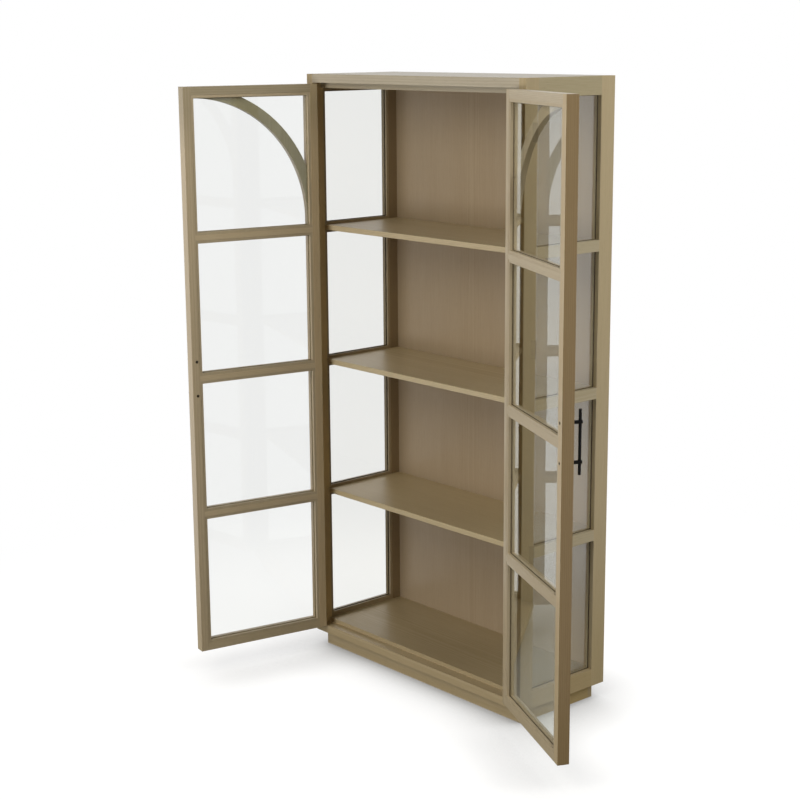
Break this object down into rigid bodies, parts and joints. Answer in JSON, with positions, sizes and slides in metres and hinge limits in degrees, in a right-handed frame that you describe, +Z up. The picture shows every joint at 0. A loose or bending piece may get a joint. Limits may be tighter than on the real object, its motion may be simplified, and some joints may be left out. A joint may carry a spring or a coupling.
{
  "type": "bookcase with glass doors",
  "caption": "Tall wooden display bookcase on a plinth, with glazed sides, fixed shelves and arched glazed doors that swing on lift-off hinges.",
  "frame": {"origin": "on the floor under the middle of the carcass, on the underside of the plinth's centre brace", "axes": "+X to the right seen from the front, +Y from the front to the back, +Z up"},
  "size_m": [1.7, 0.9711, 2.25],
  "materials": {
    "washed_oak": "washed oak, matt lacquer",
    "back_veneer": "washed oak veneer, matt lacquer",
    "clear_glass": "clear float glass",
    "black_metal": "satin black",
    "hinge_metal": "bronzed steel"
  },
  "bodies": {
    "cabinet": {"back_panel": "back_veneer", "bottom_panel": "washed_oak", "floor_panel": "washed_oak", "left_back_post": "washed_oak", "left_front_post": "washed_oak", "left_hinge_frame_leaves": "hinge_metal", "left_side_beads": "washed_oak", "left_side_bottom_rail": "washed_oak", "left_side_glass": "clear_glass", "left_side_shelf_rails": "washed_oak", "left_side_top_rail": "washed_oak", "lower_shelf": "washed_oak", "middle_shelf": "washed_oak", "plinth_back": "washed_oak", "plinth_brace": "washed_oak", "plinth_front": "washed_oak", "plinth_left": "washed_oak", "plinth_right": "washed_oak", "right_back_post": "washed_oak", "right_front_post": "washed_oak", "right_hinge_frame_leaves": "hinge_metal", "right_side_beads": "washed_oak", "right_side_bottom_rail": "washed_oak", "right_side_glass": "clear_glass", "right_side_shelf_rails": "washed_oak", "right_side_top_rail": "washed_oak", "top_door_stop": "washed_oak", "top_panel": "washed_oak", "upper_shelf": "washed_oak"},
    "left_door": {"left_door_arch": "washed_oak", "left_door_beads": "washed_oak", "left_door_bottom_rail": "washed_oak", "left_door_closing_stile": "washed_oak", "left_door_glass": "clear_glass", "left_door_handle": "black_metal", "left_door_handle_screws": "black_metal", "left_door_hinge_leaves": "hinge_metal", "left_door_hinge_stile": "washed_oak", "left_door_lower_muntin": "washed_oak", "left_door_middle_muntin": "washed_oak", "left_door_top_rail": "washed_oak", "left_door_upper_muntin": "washed_oak"},
    "right_door": {"right_door_arch": "washed_oak", "right_door_beads": "washed_oak", "right_door_bottom_rail": "washed_oak", "right_door_closing_stile": "washed_oak", "right_door_glass": "clear_glass", "right_door_handle": "black_metal", "right_door_handle_screws": "black_metal", "right_door_hinge_leaves": "hinge_metal", "right_door_hinge_stile": "washed_oak", "right_door_lower_muntin": "washed_oak", "right_door_middle_muntin": "washed_oak", "right_door_top_rail": "washed_oak", "right_door_upper_muntin": "washed_oak"}
  },
  "joints": [
    {"name": "left_door_swing", "type": "hinge", "parent": "cabinet", "child": "left_door", "pos_m": [-0.542, -0.217, 1.1535], "axis": [0, 0, 1], "range_deg": [-74.5, 100.5]},
    {"name": "right_door_swing", "type": "hinge", "parent": "cabinet", "child": "right_door", "pos_m": [0.542, -0.217, 1.1535], "axis": [0, 0, 1], "range_deg": [-154.4, 20.6]}
  ]
}
